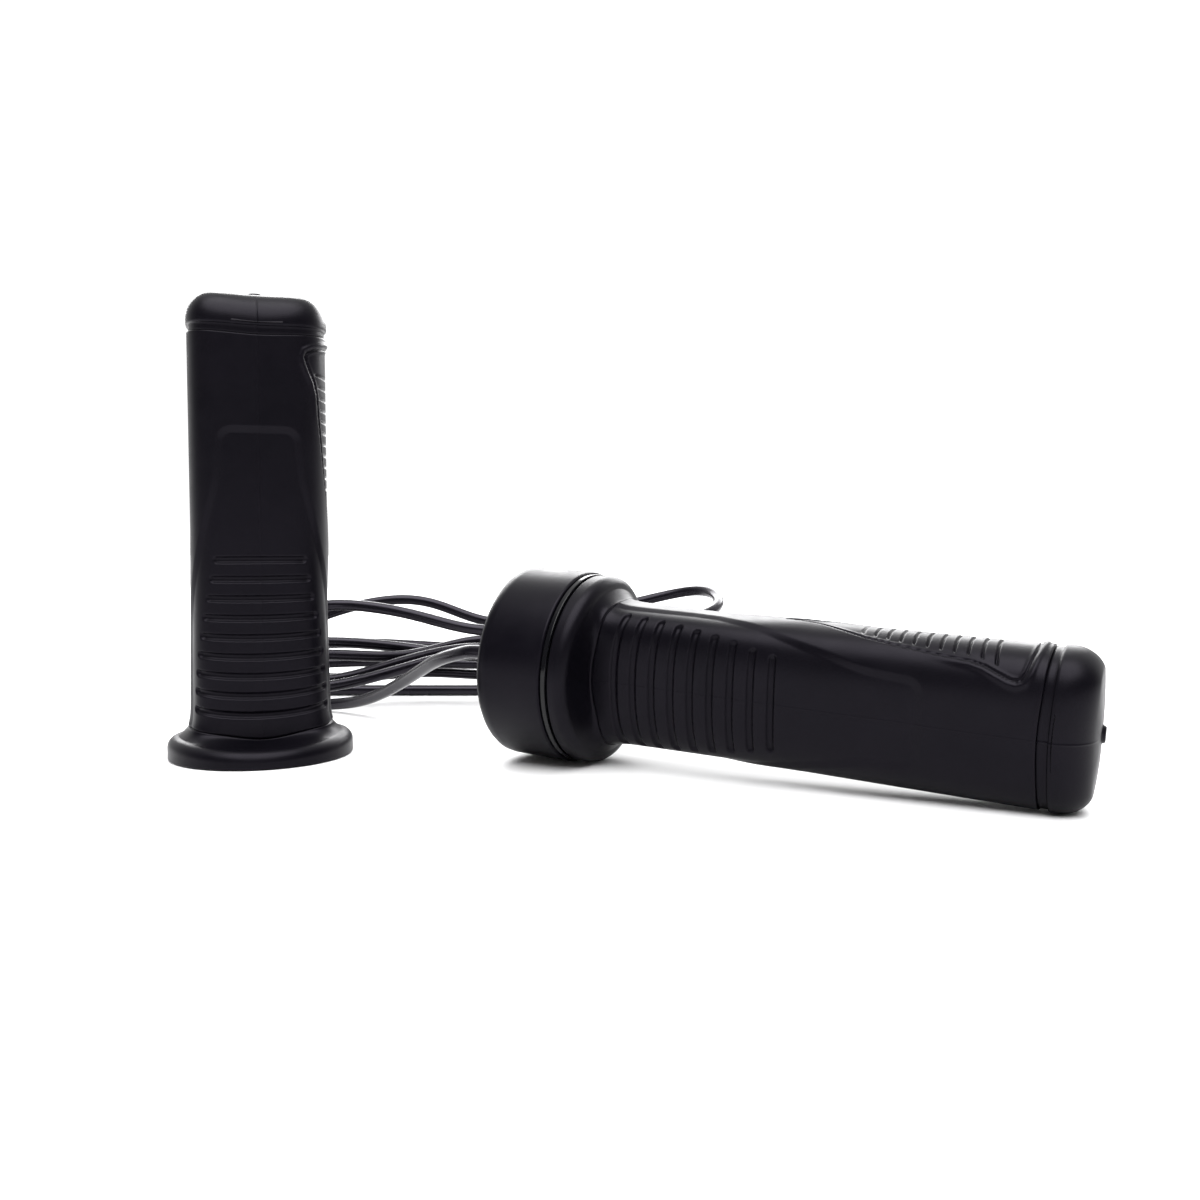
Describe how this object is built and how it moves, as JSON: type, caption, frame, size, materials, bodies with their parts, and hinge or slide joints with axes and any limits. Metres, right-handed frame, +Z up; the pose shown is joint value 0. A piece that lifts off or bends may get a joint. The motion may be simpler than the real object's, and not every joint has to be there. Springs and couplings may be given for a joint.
{
  "type": "jump rope",
  "caption": "Skipping rope with two oval moulded handles, one standing on its flange and one lying with a swivel housing, and its thin cord in a loose oval pile.",
  "frame": {"origin": "on the floor, under the middle of the two handles' bounding box", "axes": "+Z up; +X from the standing handle to the lying handle's butt; +Y away from the viewer, towards the cord pile"},
  "size_m": [0.284, 0.2394, 0.146],
  "materials": {
    "handle_plastic": "satin moulded",
    "cap_plastic": "satin moulded",
    "neck_gloss": "polished",
    "rope_pvc": "smooth extruded",
    "grommet_rubber": "matt",
    "core_plastic": "moulded",
    "bush_nylon": "natural nylon",
    "swivel_steel": "turned"
  },
  "bodies": {
    "handles_and_rope": {"upright_grip": "handle_plastic", "upright_core_tube": "core_plastic", "upright_end_plug": "handle_plastic", "upright_bush_carrier": "core_plastic", "upright_swivel_bush": "bush_nylon", "lying_grip": "handle_plastic", "lying_core_tube": "core_plastic", "lying_end_plug": "handle_plastic", "lying_bush_carrier": "core_plastic", "lying_swivel_bush": "bush_nylon", "neck_ring": "neck_gloss", "rope_pile": "rope_pvc", "upright_lead": "rope_pvc", "lying_lead": "rope_pvc"},
    "upright_swivel": {"upright_spindle": "swivel_steel", "upright_thrust_washer": "swivel_steel", "upright_retaining_clip": "swivel_steel", "upright_clamp_screw": "swivel_steel"},
    "lying_swivel": {"lying_spindle": "swivel_steel", "lying_thrust_washer": "swivel_steel", "lying_retaining_clip": "swivel_steel", "lying_clamp_screw": "swivel_steel"},
    "swivel_housing": {"head_cap": "cap_plastic", "cap_grommet": "grommet_rubber"}
  },
  "joints": [
    {"name": "upright_rope_swivel", "type": "hinge", "parent": "handles_and_rope", "child": "upright_swivel", "pos_m": [-0.10669, 0.03185, 0.028], "axis": [0, 0, 1], "continuous": true},
    {"name": "lying_rope_swivel", "type": "hinge", "parent": "handles_and_rope", "child": "lying_swivel", "pos_m": [0.02616, 0.00623, 0.02795], "axis": [0.8829, -0.4655, -0.0615], "continuous": true},
    {"name": "housing_pull_off", "type": "slide", "parent": "handles_and_rope", "child": "swivel_housing", "axis": [-0.8829, 0.4655, 0.0615], "range_m": [0, 0.02]}
  ]
}
